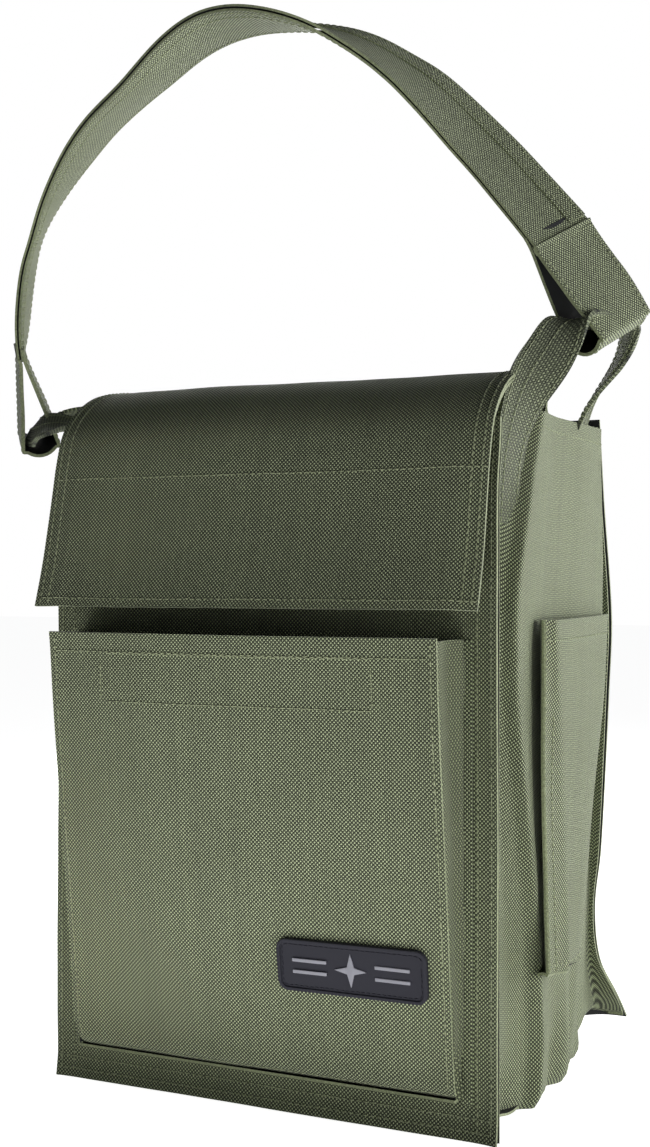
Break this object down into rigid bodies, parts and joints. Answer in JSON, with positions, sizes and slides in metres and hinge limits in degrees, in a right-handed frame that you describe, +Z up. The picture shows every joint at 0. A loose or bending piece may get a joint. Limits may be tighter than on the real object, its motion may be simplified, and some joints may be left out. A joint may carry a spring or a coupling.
{
  "type": "flight bag",
  "caption": "Upright olive woven-nylon flight bag with a folding flap, a bellows front pocket with a rubber patch, bellows side pockets and a strap handle on webbing loops.",
  "frame": {"origin": "middle of the flat underside of the bottom panel, on the surface the bag stands on", "axes": "+Z up, front of the bag towards -Y, +X to the right as seen from the front"},
  "size_m": [0.3722, 0.2309, 0.5417],
  "materials": {
    "olive_nylon": "coarse plain weave",
    "olive_webbing": "woven tape",
    "thread": "twisted thread",
    "hook_and_loop": "pile",
    "patch_rubber": "matte",
    "patch_relief": "matte"
  },
  "bodies": {
    "bag_body": {"front_panel": "olive_nylon", "rear_panel": "olive_nylon", "side_gusset_left": "olive_nylon", "side_gusset_right": "olive_nylon", "bottom_panel": "olive_nylon", "panel_loop_tape": "hook_and_loop", "front_pocket_floor": "olive_nylon", "bellows_back_left": "olive_nylon", "bellows_back_right": "olive_nylon", "mouth_loop_tape": "hook_and_loop", "side_pocket_bellows_left": "olive_nylon", "side_pocket_bellows_right": "olive_nylon", "webbing_ends_left": "olive_webbing", "webbing_ends_right": "olive_webbing"},
    "flap": {"flap_top": "olive_nylon"},
    "flap_front": {"flap_front": "olive_nylon", "flap_facing": "olive_nylon", "flap_hook_tape": "hook_and_loop"},
    "front_pocket": {"front_pocket_face": "olive_nylon", "bellows_front_left": "olive_nylon", "bellows_front_right": "olive_nylon", "mouth_hook_tape": "hook_and_loop", "rubber_patch": "patch_rubber", "patch_emblem": "patch_relief"},
    "side_pocket_left": {"side_pocket_face_left": "olive_nylon"},
    "side_pocket_right": {"side_pocket_face_right": "olive_nylon"},
    "handle": {"handle_strap": "olive_nylon", "handle_tack_left": "thread", "handle_tack_right": "thread", "webbing_loop_left": "olive_webbing", "webbing_loop_right": "olive_webbing"}
  },
  "joints": [
    {"name": "flap_lift", "type": "hinge", "parent": "bag_body", "child": "flap", "pos_m": [0, 0.0915, 0.346], "axis": [-1, 0, 0], "range_deg": [0, 22]},
    {"name": "flap_fold", "type": "hinge", "parent": "flap", "child": "flap_front", "pos_m": [0, -0.0686, 0.352], "axis": [-1, 0, 0], "range_deg": [0, 120]},
    {"name": "front_pocket_open", "type": "hinge", "parent": "bag_body", "child": "front_pocket", "pos_m": [0, -0.0995, 0.02], "axis": [1, 0, 0], "range_deg": [-4.4, 9]},
    {"name": "side_pocket_left_open", "type": "hinge", "parent": "bag_body", "child": "side_pocket_left", "pos_m": [-0.1346, 0, 0.062], "axis": [0, -1, 0], "range_deg": [0, 10]},
    {"name": "side_pocket_right_open", "type": "hinge", "parent": "bag_body", "child": "side_pocket_right", "pos_m": [0.1346, 0, 0.062], "axis": [0, 1, 0], "range_deg": [0, 10]},
    {"name": "handle_swing", "type": "hinge", "parent": "bag_body", "child": "handle", "pos_m": [0, 0.003, 0.345], "axis": [1, 0, 0], "range_deg": [-95, 45]}
  ]
}
